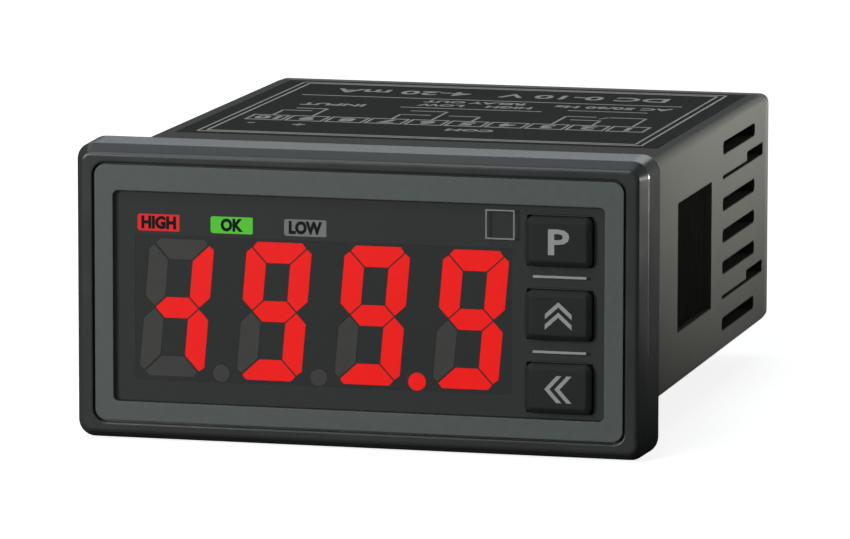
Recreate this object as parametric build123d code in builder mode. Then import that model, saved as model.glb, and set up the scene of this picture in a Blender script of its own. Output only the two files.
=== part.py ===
from build123d import *
from math import atan2, degrees, radians, sqrt, tan
import os

os.makedirs("parts", exist_ok=True)

# The frame: +Y runs back from the panel, whose front face is y = 0, and the bezel is centred on x = 0, z = 0.

# Panel cut-out that the meter is made for
cutout_width = 45.0
cutout_height = 22.2
cutout_clearance = 0.1

# Bezel: a straight land behind, a sloping flank, and a narrow flat rim in front
bezel_side_overlap = 1.5
bezel_top_overlap = 1.15
bezel_land_depth = 3.6
bezel_land_draft = 0.1
bezel_flank_depth = 1.3
bezel_flank_inset = 0.65
bezel_corner_radius = 1.5
bezel_rim_bevel = 0.15
rim_side_width = 0.95
rim_top_width = 0.75
bezel_plate_thickness = 1.2

# Front film, a printed border around the smoked window
film_thickness = 0.35
film_corner_radius = 0.9
film_gap = 0.2
film_sink = 0.05

# Smoked window
window_side_border = 1.55
window_top_border = 1.85
window_drop = 0.25
window_thickness = 0.5
window_corner_radius = 0.45
window_gap = 0.04
window_sink = 0.05

# Four-digit display module
digit_count = 4
digit_left_margin = 1.09
digit_key_gap = 0.59
digit_top_margin = 3.925
digit_bottom_margin = 2.125
digit_fill = 0.66
digit_stroke_share = 0.308
digit_slant = 5.0
segment_gap = 0.15
corner_clip = 0.83
corner_tip = 0.4
dot_radius = 0.73
dot_sides = 16
dot_inset = 0.355
dot_rise = 0.42
module_side_margin = 0.78
module_end_margin = 0.35
module_depth = 6.0
module_air_gap = 0.1
lens_thickness = 0.6
lens_gap = 0.03
lit_segments = ["bcg", "abcdfg", "abcdfg", "abcdfg"]
lit_dot = 2
dot_count = 3

# Indicator light guides above the digits
indicator_count = 3
indicator_pitch = 6.19
indicator_left_margin = 1.91
indicator_top_margin = 1.92
indicator_width = 3.6
indicator_height = 1.4
indicator_corner_clip = 0.15
guide_gap = 0.05
holder_top_wall = 0.8

# Keys
key_width = 5.5
key_spacing = 1.88
key_right_margin = 1.0
key_top_margin = 0.84
key_bottom_margin = 0.5
key_corner_radius = 0.6
key_flank_inset = 0.45
key_proud = 0.25
key_gap = 0.15
key_flange_overlap = 0.35
key_flange_thickness = 0.7
key_travel = 0.3
key_post_size = 2.0

# Push switches behind the keys
switch_size = 4.5
switch_height = 2.2
switch_edge = 0.2
plunger_size = 1.6
plunger_length = 1.4
plunger_stroke_room = 0.2
plunger_clearance = 0.15
plunger_out = 0.6

# Boards
board_thickness = 1.2
display_board_side_gap = 1.4
display_board_top_gap = 0.5
main_board_gap = 1.0
main_board_side_gap = 0.3
main_board_end_gap = 0.4

# Case
case_length = 51.4
case_wall = 1.6
case_edge_radius = 0.8
collar_depth = 4.4
collar_seat_depth = 0.3
collar_seat_gap = 0.05
collar_end_wall = 0.8
collar_top_step = 0.15
collar_bottom_step = 1.85
waist_front_y = 31.0
waist_depth = 0.1

# Ventilation slots in both side walls
vent_front_y = 33.1
vent_rear_margin = 4.8
vent_height = 1.12
vent_corner_clip = 0.28
vent_edge_margin = 2.4
vent_pitch = 2.73

# Latch windows in both side walls, each with a thin slit along its lower edge
latch_length = 6.8
latch_height = 1.06
latch_rear_wall = 1.3
latch_upper_shift = 0.315
latch_lower_shift = 0.285
slit_height = 0.3
latch_nose_depth = 1.0
latch_nose_length = 2.0
latch_gap = 0.1
latch_arm_thickness = 1.0
latch_arm_length = 6.0

# Ratchet racks in both side walls, for a slide-on mounting bracket
rack_teeth = 12
rack_pitch = 1.13
rack_edge_margin = 4.58
rack_front_y = 14.45
rack_depth = 1.0
rack_tooth_depth = 0.6

# Wiring label on the top
label_side_margin = 1.8
label_front_y = 14.1
label_rear_margin = 0.7
label_thickness = 0.15
label_recess = 0.12
label_gap = 0.1

# Board rails inside the case
rail_width = 0.9
rail_thickness = 0.8
rail_front_y = 5.0
rail_length = 27.0
rail_gap = 0.1
main_board_rise = 3.1

# Snap tabs that hold the bezel in the case
tab_height = 8.0
tab_thickness = 0.9
tab_length = 3.4
tab_case_gap = 0.2
tab_key_gap = 0.2
tab_barb_depth = 0.55
tab_barb_length = 1.0
groove_clearance = 0.15
groove_depth = 0.6

# Posts from the bezel to the display board
post_size = 1.2
post_side_inset = 0.6
post_edge_inset = 1.0

# Rear terminal block, with rising-cage clamps
pole_count = 10
pole_end_margin = 1.25
flange_thickness = 1.2
block_side_gap = 0.5
block_floor_gap = 0.2
block_depth = 7.8
chamber_width = 3.0
chamber_depth = 4.4
chamber_rear_wall = 2.0
screw_head_radius = 1.5
screw_head_height = 1.5
screw_head_gap = 0.1
screw_floor_gap = 0.4
screw_shank_radius = 0.85
screw_slot_width = 0.45
screw_slot_depth = 0.5
screw_shoulder = 0.6
neck_gap = 0.1
driver_hole_size = 2.3
cage_gap = 0.1
cage_side_wall = 0.4
cage_top_wall = 0.6
cage_nut_wall = 1.0
cage_travel = 1.6
thread_clearance = 0.05
nut_hole_sides = 20
bar_width = 1.5
bar_thickness = 0.7
bar_tip_gap = 0.1
wire_room = 2.2
wire_width = 2.2
mouth_size = 3.0
mouth_depth = 0.8
block_roof = 0.8
chamber_top_gap = 0.6
bar_slot_gap = 0.1
tail_width = 0.8
tail_thickness = 0.6

# Ventilation slots in the terminal block's flange
rear_vent_count = 9
rear_vent_width = 1.4
rear_vent_side_margin = 3.4
rear_vent_end_margin = 1.25

# Shallow strip in the flange for the terminal numbers
legend_depth = 0.2
legend_gap = 0.4
legend_side_margin = 1.5

# Parts on the main board
transformer_y = 16.0
core_headroom = 2.7
core_width = 13.0
core_depth = 6.0
core_yoke = 2.0
core_outer_leg = 1.6
core_centre_leg = 3.0
coil_gap = 0.2
coil_bulge = 2.7
coil_corner_clip = 1.2
relay_width = 6.6
relay_length = 15.0
relay_headroom = 3.2
relay_edge = 0.4
relay_side_gap = 2.3
relay_gap = 1.6
relay_rear_gap = 1.0
capacitor_y = 13.5
large_can_radius = 4.0
large_can_headroom = 3.2
small_can_radius = 3.1
small_can_headroom = 5.2
chip_relay_gap = 0.4
chip_relay_shift = 7.7
chip_size = 7.0
chip_height = 1.2
chip_foot = 0.15
lead_count = 8
lead_spacing = 0.8
lead_width = 0.35
lead_reach = 0.8
lead_thickness = 0.25
header_pins = 10
pin_spacing = 2.0
header_width = 2.4
header_height = 2.4
pin_size = 0.6

# Sizes and positions that follow from the values above
bezel_width = cutout_width + 2 * bezel_side_overlap
bezel_height = cutout_height + 2 * bezel_top_overlap
bezel_depth = bezel_land_depth + bezel_flank_depth
rim_inset = bezel_land_draft + bezel_flank_inset
film_width = bezel_width - 2 * (rim_inset + rim_side_width + film_gap)
film_height = bezel_height - 2 * (rim_inset + rim_top_width + film_gap)
window_width = film_width - 2 * window_side_border
window_height = film_height - 2 * window_top_border
window_left = -window_width / 2
window_right = window_width / 2
window_top = window_height / 2 - window_drop
window_bottom = -window_height / 2 - window_drop

film_front_y = -bezel_depth + film_sink
film_seat_y = film_front_y + film_thickness
window_front_y = film_front_y + window_sink
window_seat_y = window_front_y + window_thickness
plate_rear_y = window_seat_y + bezel_plate_thickness
display_face_y = window_seat_y + module_air_gap
board_front_y = display_face_y + module_depth
board_rear_y = board_front_y + board_thickness
key_post_end_y = board_front_y - switch_height - plunger_out

key_hole_clip = (2 - sqrt(2)) * (key_corner_radius + key_gap)
key_x = window_right - key_right_margin - key_width / 2
key_pitch = (window_height - key_top_margin - key_bottom_margin + key_spacing) / 3
key_height = key_pitch - key_spacing
key_z = window_bottom + key_bottom_margin + key_height / 2 + key_pitch
key_rows = {"key_mode": key_z + key_pitch, "key_up": key_z, "key_shift": key_z - key_pitch}

digit_row_left = window_left + digit_left_margin
digit_row_right = key_x - key_width / 2 - digit_key_gap
digit_pitch = (digit_row_right - digit_row_left) / digit_count
digit_width = digit_pitch * digit_fill
digit_height = window_height - digit_top_margin - digit_bottom_margin
segment_width = digit_width * digit_stroke_share
dot_shift = digit_pitch / 2 - dot_inset
display_x = (digit_row_left + digit_row_right) / 2
display_z = window_bottom + digit_bottom_margin + digit_height / 2
digit_centres = [display_x + (i - (digit_count - 1) / 2) * digit_pitch for i in range(digit_count)]
module_width = (digit_count - 1) * digit_pitch + digit_width + 2 * module_side_margin
module_height = digit_height + 2 * module_end_margin
module_bottom = display_z - module_height / 2

indicator_x = window_left + indicator_left_margin + indicator_width / 2
indicator_z = window_top - indicator_top_margin - indicator_height / 2
indicator_centres = [indicator_x + i * indicator_pitch for i in range(indicator_count)]
holder_bottom = display_z + module_height / 2 + guide_gap
holder_top = indicator_z + indicator_height / 2 + holder_top_wall

case_width = cutout_width - 2 * cutout_clearance
collar_height = cutout_height - 2 * cutout_clearance
case_height = collar_height - collar_top_step - collar_bottom_step
case_rise = (collar_bottom_step - collar_top_step) / 2
inner_width = case_width - 2 * case_wall
inner_height = case_height - 2 * case_wall
rear_width = case_width - 2 * waist_depth
case_top = case_rise + case_height / 2
case_bottom = case_rise - case_height / 2
case_floor = case_bottom + case_wall
case_ceiling = case_top - case_wall
collar_pocket_depth = collar_depth - collar_end_wall
rear_face_y = case_length + flange_thickness
vent_length = case_length - vent_rear_margin - vent_front_y
vent_reach = case_height / 2 - vent_edge_margin
vent_rows = [case_rise + rise for rise in (vent_reach, vent_pitch, 0, -vent_pitch, -vent_reach)]
latch_reach = (vent_reach + vent_pitch) / 2
latch_rows = [case_rise + latch_reach + latch_upper_shift, case_rise - latch_reach + latch_lower_shift]
rack_length = rack_teeth * rack_pitch
rack_height = case_height - 2 * rack_edge_margin
label_width = case_width - 2 * label_side_margin
label_length = case_length - label_front_y - label_rear_margin

tab_outer_x = inner_width / 2 - tab_case_gap
tab_root_y = plate_rear_y + key_flange_thickness + key_travel + tab_key_gap
cavity_height = collar_height - 2 * case_wall - 2 * tab_case_gap
post_z = cavity_height / 2 - post_edge_inset
post_x = module_width / 2 - post_side_inset

main_board_bottom = case_floor + main_board_rise - board_thickness
main_board_top = main_board_bottom + board_thickness
main_board_front_y = board_rear_y + main_board_gap
block_front_y = case_length - block_depth
main_board_rear_y = block_front_y - main_board_end_gap
headroom = case_ceiling - main_board_top

block_width = inner_width - 2 * block_side_gap
pole_pitch = (block_width - 2 * pole_end_margin) / pole_count
pole_centres = [(i - (pole_count - 1) / 2) * pole_pitch for i in range(pole_count)]
chamber_rear_y = case_length - chamber_rear_wall
screw_y = chamber_rear_y - chamber_depth / 2
block_bottom = case_floor + block_floor_gap
screw_head_bottom = case_floor + screw_floor_gap
screw_head_top = screw_head_bottom + screw_head_height
chamber_bottom = screw_head_top + screw_shoulder
cage_bottom = chamber_bottom + cage_gap + cage_travel
bar_bottom = cage_bottom + cage_nut_wall + 2 * cage_gap
bar_top = bar_bottom + bar_thickness
cage_window_top = bar_top + wire_room
cage_top = cage_window_top + cage_top_wall
chamber_top = cage_top + chamber_top_gap
block_top = chamber_top + block_roof
cage_width = chamber_width - 2 * cage_gap
cage_depth = chamber_depth - 4 * cage_gap
wire_z = (bar_top + cage_window_top) / 2
rear_vent_pitch = (rear_width - 2 * rear_vent_side_margin) / rear_vent_count
rear_vent_centres = [(i - (rear_vent_count - 1) / 2) * rear_vent_pitch for i in range(rear_vent_count)]
rear_vent_height = case_ceiling - block_top - 2 * rear_vent_end_margin
legend_low = wire_z + mouth_size / 2 + legend_gap
legend_high = block_top + rear_vent_end_margin - legend_gap


def front_view(y):
    """Plane at the given y, with local x along +X and local y along +Z. It extrudes towards the front."""
    return Plane.XZ.offset(-y)


def clipped_rectangle(width, height, clip, mode=Mode.ADD):
    """Adds to the open sketch a rectangle whose corners are cut off at 45 degrees."""
    x = width / 2
    y = height / 2
    Polygon(
        (x - clip, -y),
        (x, clip - y),
        (x, y - clip),
        (x - clip, y),
        (clip - x, y),
        (-x, y - clip),
        (-x, clip - y),
        (clip - x, -y),
        align=None,
        mode=mode,
    )


def segment_outline(letter):
    """Corners of one display segment, about the digit's centre, leaning with the digit."""
    left = -digit_width / 2
    top = digit_height / 2
    half = segment_width / 2
    mitre = segment_gap / sqrt(2)
    bar = [
        (left + corner_clip, top),
        (-left - corner_clip, top),
        (-left - corner_tip - mitre, top - corner_tip),
        (-left - segment_width - mitre, top - segment_width),
        (left + segment_width + mitre, top - segment_width),
        (left + corner_tip + mitre, top - corner_tip),
    ]
    upright = [
        (left, top - corner_clip),
        (left + corner_tip, top - corner_tip - mitre),
        (left + segment_width, top - segment_width - mitre),
        (left + segment_width, half + mitre),
        (left + half, mitre),
        (left, half + mitre),
    ]
    middle = [
        (left + half + mitre, 0),
        (left + segment_width + mitre, half),
        (-left - segment_width - mitre, half),
        (-left - half - mitre, 0),
        (-left - segment_width - mitre, -half),
        (left + segment_width + mitre, -half),
    ]
    shapes = {
        "a": (bar, 1, 1),
        "b": (upright, -1, 1),
        "c": (upright, -1, -1),
        "d": (bar, 1, -1),
        "e": (upright, 1, -1),
        "f": (upright, 1, 1),
        "g": (middle, 1, 1),
    }
    points, flip_x, flip_z = shapes[letter]
    lean = tan(radians(digit_slant))
    return [(flip_x * x + flip_z * z * lean, flip_z * z) for x, z in points]


def draw_segments(wanted):
    """Adds to the open sketch each segment, and each decimal point, for which wanted(digit, name) is true."""
    for digit, centre in enumerate(digit_centres):
        for letter in "abcdefg":
            if wanted(digit, letter):
                with Locations((centre, display_z)):
                    Polygon(*segment_outline(letter), align=None)
        if digit < dot_count and wanted(digit, "dot"):
            with Locations((centre + dot_shift, display_z - digit_height / 2 + dot_rise)):
                RegularPolygon(dot_radius, dot_sides)


def is_lit(digit, name):
    return digit == lit_dot if name == "dot" else name in lit_segments[digit]


# Front bezel with its film seat, window seat, display opening, key holes, collar seat and snap tabs
with BuildPart() as front_bezel:
    with BuildSketch(front_view(0)):
        RectangleRounded(bezel_width, bezel_height, bezel_corner_radius)
    extrude(amount=bezel_land_depth, taper=degrees(atan2(bezel_land_draft, bezel_land_depth)))
    with BuildSketch(front_view(-bezel_land_depth)):
        RectangleRounded(
            bezel_width - 2 * bezel_land_draft,
            bezel_height - 2 * bezel_land_draft,
            bezel_corner_radius - bezel_land_draft,
        )
    extrude(amount=bezel_flank_depth, taper=degrees(atan2(bezel_flank_inset, bezel_flank_depth)))
    chamfer(front_bezel.faces().sort_by(Axis.Y)[0].edges(), bezel_rim_bevel)
    with BuildSketch(front_view(-bezel_depth)):
        RectangleRounded(
            film_width + 2 * film_gap,
            film_height + 2 * film_gap,
            film_corner_radius + film_gap,
        )
    extrude(amount=-(film_seat_y + bezel_depth), mode=Mode.SUBTRACT)
    with BuildSketch(front_view(-bezel_depth)):
        with Locations((0, -window_drop)):
            RectangleRounded(
                window_width + 2 * window_gap,
                window_height + 2 * window_gap,
                window_corner_radius + window_gap,
            )
    extrude(amount=-(window_seat_y + bezel_depth), mode=Mode.SUBTRACT)
    with BuildSketch(front_view(0)):
        RectangleRounded(
            case_width + 2 * collar_seat_gap,
            collar_height + 2 * collar_seat_gap,
            case_edge_radius + collar_seat_gap,
        )
    extrude(amount=collar_seat_depth, mode=Mode.SUBTRACT)
    with BuildSketch(front_view(0)):
        Rectangle(2 * tab_outer_x, cavity_height)
    extrude(amount=-plate_rear_y, mode=Mode.SUBTRACT)
    with BuildSketch(front_view(plate_rear_y)):
        with Locations((display_x, (module_bottom + holder_top) / 2)):
            Rectangle(module_width + 2 * key_gap, holder_top - module_bottom + 2 * key_gap)
        with Locations([(key_x, z) for z in key_rows.values()]):
            Rectangle(key_width + 2 * key_gap, key_height + 2 * key_gap)
    extrude(amount=bezel_plate_thickness, mode=Mode.SUBTRACT)
    with BuildSketch(front_view(plate_rear_y)):
        with Locations([(display_x + side * post_x, end * post_z) for side in (1, -1) for end in (1, -1)]):
            Rectangle(post_size, post_size)
    extrude(amount=plate_rear_y - board_front_y)
    for side in (1, -1):
        with BuildSketch(Plane.XY):
            Polygon(
                (side * (tab_outer_x - tab_thickness), tab_root_y),
                (side * tab_outer_x, tab_root_y),
                (side * tab_outer_x, tab_length - tab_barb_length),
                (side * (tab_outer_x + tab_barb_depth), tab_length - tab_barb_length),
                (side * tab_outer_x, tab_length),
                (side * (tab_outer_x - tab_thickness), tab_length),
                align=None,
            )
        extrude(amount=tab_height / 2, both=True)
front_bezel.part.label = "front_bezel"
export_step(front_bezel.part, "parts/front_bezel.step")

# Film border, glued in the bezel's front recess
with BuildPart() as front_film:
    with BuildSketch(front_view(film_seat_y)):
        RectangleRounded(film_width, film_height, film_corner_radius)
        with Locations((0, -window_drop)):
            RectangleRounded(window_width, window_height, window_corner_radius, mode=Mode.SUBTRACT)
    extrude(amount=film_thickness)
front_film.part.label = "front_film"
export_step(front_film.part, "parts/front_film.step")

# Smoked window over the digits, with a hole for each key
with BuildPart() as display_window:
    with BuildSketch(front_view(window_seat_y)):
        with Locations((0, -window_drop)):
            RectangleRounded(
                window_width - 2 * window_gap,
                window_height - 2 * window_gap,
                window_corner_radius - window_gap,
            )
        with Locations([(key_x, z) for z in key_rows.values()]):
            clipped_rectangle(
                key_width + 2 * key_gap,
                key_height + 2 * key_gap,
                key_hole_clip,
                mode=Mode.SUBTRACT,
            )
    extrude(amount=window_thickness)
display_window.part.label = "display_window"
export_step(display_window.part, "parts/display_window.step")

# Display module: one moulding with a well for each segment and decimal point
with BuildPart() as display_module:
    with BuildSketch(front_view(board_front_y)):
        with Locations((display_x, display_z)):
            Rectangle(module_width, module_height)
    extrude(amount=module_depth)
    with BuildSketch(front_view(display_face_y)):
        draw_segments(lambda digit, name: True)
        offset(amount=lens_gap, kind=Kind.INTERSECTION)
    extrude(amount=-lens_thickness, mode=Mode.SUBTRACT)
display_module.part.label = "display_module"
export_step(display_module.part, "parts/display_module.step")

# Segment lenses, those that are lit and those that are not
with BuildPart() as segments_lit:
    with BuildSketch(front_view(display_face_y + lens_thickness)):
        draw_segments(is_lit)
    extrude(amount=lens_thickness)
segments_lit.part.label = "segments_lit"
export_step(segments_lit.part, "parts/segments_lit.step")

with BuildPart() as segments_dark:
    with BuildSketch(front_view(display_face_y + lens_thickness)):
        draw_segments(lambda digit, name: not is_lit(digit, name))
    extrude(amount=lens_thickness)
segments_dark.part.label = "segments_dark"
export_step(segments_dark.part, "parts/segments_dark.step")

# Holder bar above the display module, with a slot for each light guide
with BuildPart() as indicator_holder:
    with BuildSketch(front_view(board_front_y)):
        with Locations((display_x, (holder_bottom + holder_top) / 2)):
            Rectangle(module_width, holder_top - holder_bottom)
        with Locations([(x, indicator_z) for x in indicator_centres]):
            clipped_rectangle(
                indicator_width + 2 * guide_gap,
                indicator_height + 2 * guide_gap,
                indicator_corner_clip + guide_gap,
                mode=Mode.SUBTRACT,
            )
    extrude(amount=module_depth)
indicator_holder.part.label = "indicator_holder"
export_step(indicator_holder.part, "parts/indicator_holder.step")

# Light guides of the three indicators
for number, centre in enumerate(indicator_centres, start=1):
    with BuildPart() as indicator:
        with BuildSketch(front_view(board_front_y)):
            with Locations((centre, indicator_z)):
                clipped_rectangle(indicator_width, indicator_height, indicator_corner_clip)
        extrude(amount=module_depth)
    indicator.part.label = f"indicator_{number}"
    export_step(indicator.part, f"parts/indicator_{number}.step")

# Keys, each a cap with a retaining flange and a post, with the switch plunger that it pushes
for key_name, row_z in key_rows.items():
    with BuildPart() as key_cap:
        with BuildSketch(front_view(plate_rear_y)):
            with Locations((key_x, row_z)):
                RectangleRounded(key_width, key_height, key_corner_radius)
        extrude(amount=plate_rear_y - window_front_y)
        with BuildSketch(front_view(window_front_y)):
            with Locations((key_x, row_z)):
                RectangleRounded(key_width, key_height, key_corner_radius)
        extrude(amount=key_proud, taper=degrees(atan2(key_flank_inset, key_proud)))
        with BuildSketch(front_view(plate_rear_y)):
            with Locations((key_x, row_z)):
                Rectangle(key_width + 2 * key_flange_overlap, key_height + 2 * key_flange_overlap)
        extrude(amount=-key_flange_thickness)
        with BuildSketch(front_view(plate_rear_y)):
            with Locations((key_x, row_z)):
                Rectangle(key_post_size, key_post_size)
        extrude(amount=-(key_post_end_y - plate_rear_y))
    key_cap.part.label = f"{key_name}_cap"
    export_step(key_cap.part, f"parts/{key_name}_cap.step")

    with BuildPart() as key_plunger:
        with BuildSketch(front_view(key_post_end_y)):
            with Locations((key_x, row_z)):
                Rectangle(plunger_size, plunger_size)
        extrude(amount=-plunger_length)
    key_plunger.part.label = f"{key_name}_plunger"
    export_step(key_plunger.part, f"parts/{key_name}_plunger.step")

    with BuildPart() as key_switch:
        with BuildSketch(front_view(board_front_y)):
            with Locations((key_x, row_z)):
                Rectangle(switch_size, switch_size)
        extrude(amount=switch_height)
        chamfer(key_switch.faces().sort_by(Axis.Y)[0].edges(), switch_edge)
        with BuildSketch(front_view(board_front_y - switch_height)):
            with Locations((key_x, row_z)):
                Rectangle(plunger_size + 2 * plunger_clearance, plunger_size + 2 * plunger_clearance)
        extrude(
            amount=-(plunger_length - plunger_out + key_travel + plunger_stroke_room),
            mode=Mode.SUBTRACT,
        )
    key_switch.part.label = f"{key_name}_switch"
    export_step(key_switch.part, f"parts/{key_name}_switch.step")

# Display board behind the digits and switches
with BuildPart() as display_board:
    with BuildSketch(front_view(board_front_y)):
        Rectangle(
            inner_width - 2 * display_board_side_gap,
            collar_height - 2 * case_wall - 2 * display_board_top_gap,
        )
    extrude(amount=-board_thickness)
display_board.part.label = "display_board"
export_step(display_board.part, "parts/display_board.step")

# Main board, lying in the case's rails
with BuildPart() as main_board:
    with BuildSketch(Plane.XY.offset(main_board_bottom)):
        with Locations((0, (main_board_front_y + main_board_rear_y) / 2)):
            Rectangle(inner_width - 2 * main_board_side_gap, main_board_rear_y - main_board_front_y)
    extrude(amount=board_thickness)
main_board.part.label = "main_board"
export_step(main_board.part, "parts/main_board.step")

# Pin header that joins the two boards
with BuildPart() as board_header:
    with Locations((0, main_board_front_y + header_width / 2, main_board_top + header_height / 2)):
        Box(header_pins * pin_spacing, header_width, header_height)
    with Locations(
        [
            (
                (i - (header_pins - 1) / 2) * pin_spacing,
                (board_rear_y + main_board_front_y) / 2,
                main_board_top + header_height / 2,
            )
            for i in range(header_pins)
        ]
    ):
        Box(pin_size, main_board_front_y - board_rear_y, pin_size)
board_header.part.label = "board_header"
export_step(board_header.part, "parts/board_header.step")

# Transformer core, two yokes joined by a centre leg and two outer legs
component_gap = (inner_width - core_width - 2 * large_can_radius - 2 * small_can_radius) / 4
transformer_x = component_gap + (core_width - inner_width) / 2
core_height = headroom - core_headroom
core_window_height = core_height - 2 * core_yoke
core_window_width = (core_width - core_centre_leg) / 2 - core_outer_leg
with BuildPart() as transformer_core:
    with BuildSketch(front_view(transformer_y)):
        with Locations((transformer_x, main_board_top + core_height / 2)):
            Rectangle(core_width, core_height)
            with Locations([(side * (core_centre_leg + core_window_width) / 2, 0) for side in (1, -1)]):
                Rectangle(core_window_width, core_window_height, mode=Mode.SUBTRACT)
    extrude(amount=core_depth / 2, both=True)
transformer_core.part.label = "transformer_core"
export_step(transformer_core.part, "parts/transformer_core.step")

# Transformer coil, wound around the centre leg
coil_height = core_window_height - 2 * coil_gap
with BuildPart() as transformer_coil:
    with BuildSketch(Plane.XY.offset(main_board_top + core_yoke + coil_gap)):
        with Locations((transformer_x, transformer_y)):
            clipped_rectangle(
                core_centre_leg + 2 * core_window_width - 2 * coil_gap,
                core_depth + 2 * coil_bulge,
                coil_corner_clip,
            )
            Rectangle(core_centre_leg + 2 * coil_gap, core_depth + 2 * coil_gap, mode=Mode.SUBTRACT)
    extrude(amount=coil_height)
transformer_coil.part.label = "transformer_coil"
export_step(transformer_coil.part, "parts/transformer_coil.step")

# Output relays
relay_height = headroom - relay_headroom
relay_y = main_board_rear_y - relay_rear_gap - relay_length / 2
relay_right_x = inner_width / 2 - relay_side_gap - relay_width / 2
relay_left_x = relay_right_x - relay_width - relay_gap
for number, x in enumerate([relay_left_x, relay_right_x], start=1):
    with BuildPart() as relay:
        with BuildSketch(Plane.XY.offset(main_board_top)):
            with Locations((x, relay_y)):
                Rectangle(relay_width, relay_length)
        extrude(amount=relay_height)
        chamfer(relay.faces().sort_by(Axis.Z)[-1].edges(), relay_edge)
    relay.part.label = f"relay_{number}"
    export_step(relay.part, f"parts/relay_{number}.step")

# Electrolytic capacitors, between the transformer and the right wall
small_can_x = inner_width / 2 - component_gap - small_can_radius
large_can_x = small_can_x - small_can_radius - component_gap - large_can_radius
for capacitor_name, x, radius, room in (
    ("capacitor_large", large_can_x, large_can_radius, large_can_headroom),
    ("capacitor_small", small_can_x, small_can_radius, small_can_headroom),
):
    with BuildPart() as capacitor:
        with BuildSketch(Plane.XY.offset(main_board_top)):
            with Locations((x, capacitor_y)):
                Circle(radius)
        extrude(amount=headroom - room)
    capacitor.part.label = capacitor_name
    export_step(capacitor.part, f"parts/{capacitor_name}.step")

# Processor chip with leads on two sides, beside the left relay
chip_x = relay_left_x - relay_width / 2 - chip_relay_gap - lead_reach - chip_size / 2
chip_y = relay_y - chip_relay_shift
with BuildPart() as processor_chip:
    with Locations((chip_x, chip_y, main_board_top + chip_foot + chip_height / 2)):
        Box(chip_size, chip_size, chip_height)
    lead_offsets = [(i - (lead_count - 1) / 2) * lead_spacing for i in range(lead_count)]
    lead_span = chip_size / 2 + lead_reach / 2
    lead_z = main_board_top + chip_foot + lead_thickness / 2
    for side in (1, -1):
        with Locations([(chip_x + side * lead_span, chip_y + d, lead_z) for d in lead_offsets]):
            Box(lead_reach, lead_width, lead_thickness)
processor_chip.part.label = "processor_chip"
export_step(processor_chip.part, "parts/processor_chip.step")

# Case: a moulded sleeve with a locating collar, vents, latch windows, ratchet racks and board rails
latch_centre_y = case_length - latch_rear_wall - latch_length / 2
slit_length = case_length - latch_rear_wall - vent_front_y
with BuildPart() as case_shell:
    with BuildSketch(front_view(-collar_seat_depth)):
        RectangleRounded(case_width, collar_height, case_edge_radius)
    extrude(amount=-collar_seat_depth - collar_depth)
    with BuildSketch(front_view(0)):
        with Locations((0, case_rise)):
            RectangleRounded(case_width, case_height, case_edge_radius)
    extrude(amount=-case_length)
    with BuildSketch(front_view(waist_front_y)):
        with Locations((0, case_rise)):
            Rectangle(case_width, case_height)
            Rectangle(rear_width, case_height, mode=Mode.SUBTRACT)
    extrude(amount=waist_front_y - case_length, mode=Mode.SUBTRACT)
    with BuildSketch(front_view(-collar_seat_depth)):
        Rectangle(inner_width, collar_height - 2 * case_wall)
    extrude(amount=-collar_seat_depth - collar_pocket_depth, mode=Mode.SUBTRACT)
    with BuildSketch(front_view(0)):
        with Locations((0, case_rise)):
            Rectangle(inner_width, inner_height)
    extrude(amount=-case_length, mode=Mode.SUBTRACT)
    with BuildSketch(Plane.YZ):
        with Locations([(vent_front_y + vent_length / 2, z) for z in vent_rows]):
            clipped_rectangle(vent_length, vent_height, vent_corner_clip)
        with Locations([(latch_centre_y, z) for z in latch_rows]):
            Rectangle(latch_length, latch_height)
        slit_drop = (latch_height - slit_height) / 2
        with Locations([(vent_front_y + slit_length / 2, z - slit_drop) for z in latch_rows]):
            Rectangle(slit_length, slit_height)
    extrude(amount=case_width, both=True, mode=Mode.SUBTRACT)
    with BuildSketch(Plane.YZ):
        with Locations((tab_length - tab_barb_length / 2, 0)):
            Rectangle(tab_barb_length + 2 * groove_clearance, tab_height + 2 * groove_clearance)
    extrude(amount=inner_width / 2 + groove_depth, both=True, mode=Mode.SUBTRACT)
    for side in (1, -1):
        with BuildSketch(Plane.YZ.offset(side * case_width / 2)):
            with Locations((rack_front_y + rack_length / 2, case_rise)):
                Rectangle(rack_length, rack_height)
        extrude(amount=-side * rack_depth, mode=Mode.SUBTRACT)
        rack_floor_x = side * (case_width / 2 - rack_depth)
        with BuildSketch(Plane.XY.offset(case_rise - rack_height / 2)):
            with Locations([(rack_floor_x, rack_front_y + i * rack_pitch) for i in range(rack_teeth)]):
                Polygon((0, 0), (side * rack_tooth_depth, 0), (0, rack_pitch), align=None)
        extrude(amount=rack_height)
        with Locations(
            [
                (side * (inner_width - rail_width) / 2, rail_front_y + rail_length / 2, z)
                for z in (
                    main_board_top + rail_gap + rail_thickness / 2,
                    main_board_bottom - rail_gap - rail_thickness / 2,
                )
            ]
        ):
            Box(rail_width, rail_length, rail_thickness)
    with BuildSketch(Plane.XY.offset(case_top)):
        with Locations((0, label_front_y + label_length / 2)):
            Rectangle(label_width + 2 * label_gap, label_length + 2 * label_gap)
    extrude(amount=-label_recess, mode=Mode.SUBTRACT)
    with BuildSketch(Plane.XY.offset(case_bottom)):
        with Locations([(x, screw_y) for x in pole_centres]):
            Rectangle(driver_hole_size, driver_hole_size)
    extrude(amount=case_wall, mode=Mode.SUBTRACT)
case_shell.part.label = "case_shell"
export_step(case_shell.part, "parts/case_shell.step")

# Wiring label in its shallow recess on the top
with BuildPart() as wiring_label:
    with BuildSketch(Plane.XY.offset(case_top - label_recess)):
        with Locations((0, label_front_y + label_length / 2)):
            Rectangle(label_width, label_length)
    extrude(amount=label_thickness)
wiring_label.part.label = "wiring_label"
export_step(wiring_label.part, "parts/wiring_label.step")

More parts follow.
